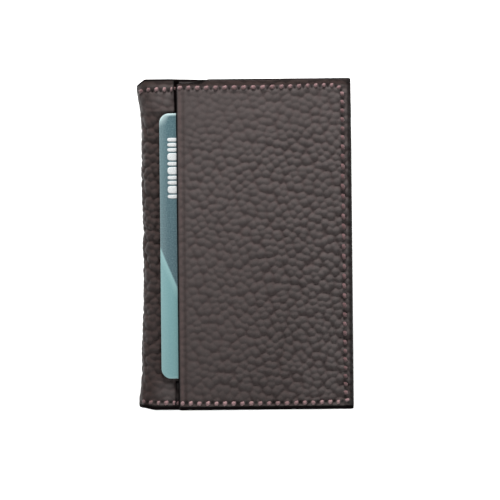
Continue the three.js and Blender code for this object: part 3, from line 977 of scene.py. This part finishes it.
for side in ("back", "front"):
    pts = []
    for h in inner_run:
        z, n = inner_level(h[0]) - 0.1, 1.0
        if side == "front":
            z, n = FOLD_T - z, -1.0
        pts.append(((h[0], h[1], z), (0, 0, n)))
    ob = stitches(f"stitching_inside_{side}", [pts], r0=0.24, inset=0.62)
    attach(ob, f"{side}_half")
    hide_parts(f"{side}_inner_thread")


# ------------------------------------------------------------------ card
def card():
    w, h = CARD_HI[0] - CARD_LO[0], CARD_HI[1] - CARD_LO[1]
    rc = 3.18
    dyo = rc * (1 - np.cos(np.linspace(0, math.pi / 2, 16)))
    ys = np.concatenate([dyo, np.linspace(rc, h - rc, 60)[1:-1], h - dyo[::-1]])
    bev = 0.13
    zt, zb = float(CARD_HI[2]), float(CARD_LO[2])
    core = np.concatenate([[0, 0.04, bev, 0.4], np.linspace(0.4, w - 0.4, 24)[1:-1], [w - 0.4, w - bev, w - 0.04, w]])
    P, edge, flat = [], [], []
    for k, y in enumerate(ys):
        dy = min(y, h - y)
        nip = rc - math.sqrt(max(rc * rc - max(0, rc - dy) ** 2, 0))
        x = nip + core * (w - 2 * nip) / w
        x = np.where(core < 0.41, nip + core, np.where(core > w - 0.41, w - nip - (w - core), x))
        d = np.minimum(np.minimum(core, w - core), dy)
        fall = round_off(np.clip(bev - d, 0, bev), bev)
        top = np.stack([x + CARD_LO[0], np.full(len(x), y + CARD_LO[1] + 0.25), zt - fall], -1)
        bot = np.stack([x[::-1] + CARD_LO[0], np.full(len(x), y + CARD_LO[1] + 0.25), zb + fall[::-1]], -1)
        P.append(np.concatenate([top, bot]))
        # pale core at the rim all round, raised at the top end as a painted highlight
        e = (1 - ramp(d, 0.15, 0.95)) * (0.15 + 0.75 * float(ramp(y, h - 4.5, h - 1.2)))
        edge.append(np.concatenate([e, e[::-1]]))
        xx = np.concatenate([x, x[::-1]])
        flat.append(np.stack([xx, np.full(len(xx), y), np.zeros(len(xx))], -1))
    ob = loft("pocket_card", np.array(P), {"edge": np.array(edge), "flat": np.array(flat)}, CARD)
    return face_out(ob)


card_ob = card()
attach(card_ob, "card_body")
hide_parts("card")


def marks():
    """Generic raised bars where a card carries its embossing. They stand for no letters."""
    V, F, FL = [], [], []
    base = 0
    n = 28
    y = CARD_HI[1] - 7.6 - 19.6
    widths = [1.2, 2.4, 1.2, 1.2, 2.4, 1.2, 2.4, 1.2, 1.2, 1.2]
    x0 = CARD_LO[0] + 2.55
    for i, ln in enumerate(widths):
        cx, cy, a, b = x0 + 1.75, y + ln / 2, 1.75, ln / 2
        y += ln + 0.44
        ang = np.linspace(0, 2 * math.pi, n, endpoint=False)
        rings = []
        lean = 0.0
        for sc, dz in ((1.0, -0.05), (1.0, 0.03), (0.93, 0.065), (0.78, 0.08)):
            px = np.sign(np.cos(ang)) * np.abs(np.cos(ang)) ** 0.6 * (a * sc)
            py = np.sign(np.sin(ang)) * np.abs(np.sin(ang)) ** 0.6 * (b * sc) + px * lean
            rings.append(np.stack([cx + px, cy + py, np.full(n, float(CARD_HI[2]) + dz)], -1))
        V += rings
        FL += [np.stack([r[:, 0], r[:, 1], np.full(n, 9.0)], -1) for r in rings]
        for k in range(3):
            for j in range(n):
                j2 = (j + 1) % n
                F.append([base + k * n + j, base + k * n + j2, base + (k + 1) * n + j2, base + (k + 1) * n + j])
        F.append([base + j for j in range(n)][::-1])
        F.append([base + 3 * n + j for j in range(n)])
        base += 4 * n
    ob = make_object("card_raised_bars", np.concatenate(V), F, (), {"flat": np.concatenate(FL)}, PRINT)
    face_out(ob)
    return ob


marks_ob = marks()
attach(marks_ob, "card_body")

# ------------------------------------------------------------------ CAD nodes that stay
for n in ("back_stiffener", "front_stiffener"):
    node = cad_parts[n]
    node.data.materials.clear()
    node.data.materials.append(BOARD)

# ------------------------------------------------------------------ floor, light, camera
me = bpy.data.meshes.new("floor")
me.from_pydata([(-4, -4, -0.00004), (4, -4, -0.00004), (4, 4, -0.00004), (-4, 4, -0.00004)], [], [[0, 1, 2, 3]])
floor = bpy.data.objects.new("floor", me)
ROOT.objects.link(floor)
fm = bpy.data.materials.new("floor_white")
t, b = nt(fm)
b.inputs["Base Color"].default_value = (0.93, 0.93, 0.93, 1)
b.inputs["Roughness"].default_value = 0.9
b.inputs["Specular IOR Level"].default_value = 0.1
me.materials.append(fm)

world = bpy.data.worlds.new("studio")
bpy.context.scene.world = world
world.use_nodes = True
bg = world.node_tree.nodes.get("Background") or world.node_tree.nodes.new("ShaderNodeBackground")
bg.inputs[0].default_value = (1, 1, 1, 1)
bg.inputs[1].default_value = 0.46
wo = world.node_tree.nodes.get("World Output") or world.node_tree.nodes.new("ShaderNodeOutputWorld")
world.node_tree.links.new(bg.outputs[0], wo.inputs[0])


def area(name, loc, target, size, watts):
    d = bpy.data.lights.new(name, "AREA")
    d.energy = watts
    d.size = size
    o = bpy.data.objects.new(name, d)
    o.location = loc
    o.rotation_mode = "QUATERNION"
    o.rotation_quaternion = (Vector(target) - Vector(loc)).to_track_quat("-Z", "Y")
    ROOT.objects.link(o)
    o.visible_camera = False
    return o


def soft_sun(name, azimuth, elevation, strength, angle):
    """A wide, even light. Azimuth is where it stands, from +X towards +Y."""
    d = bpy.data.lights.new(name, "SUN")
    d.energy = strength
    d.angle = math.radians(angle)
    o = bpy.data.objects.new(name, d)
    az, el = math.radians(azimuth), math.radians(elevation)
    way = Vector((-math.cos(az) * math.cos(el), -math.sin(az) * math.cos(el), -math.sin(el)))
    o.rotation_mode = "QUATERNION"
    o.rotation_quaternion = way.to_track_quat("-Z", "Y")
    ROOT.objects.link(o)
    return o


key = area("key", (-0.03, 0.50, 0.165), (0, 0, 0), 0.16, 13.2)
key.visible_glossy = False
soft_sun("fill_right", -2, 40, 1.75, 40)
soft_sun("fill_front", -84, 45, 1.65, 40)
soft_sun("fill_left", 190, 40, 1.15, 40)

LENS = 100.0
FRAME_MM = 161.1
dist = FRAME_MM / 36.0 * LENS * MM
cam = bpy.data.cameras.new("camera")
cam.lens = LENS
cam.sensor_width = 36.0
cam.clip_start, cam.clip_end = 0.01, 50
co = bpy.data.objects.new("camera", cam)
co.location = (1.23 * MM, -1.86 * MM, dist + 0.0105)
co.rotation_euler = (0, 0, math.radians(-0.56))
ROOT.objects.link(co)
bpy.context.scene.camera = co
bpy.context.scene.view_settings.view_transform = "Standard"
bpy.context.scene.view_settings.look = "None"
bpy.context.scene.view_settings.exposure = 0.0
bpy.context.scene.view_settings.gamma = 1.0
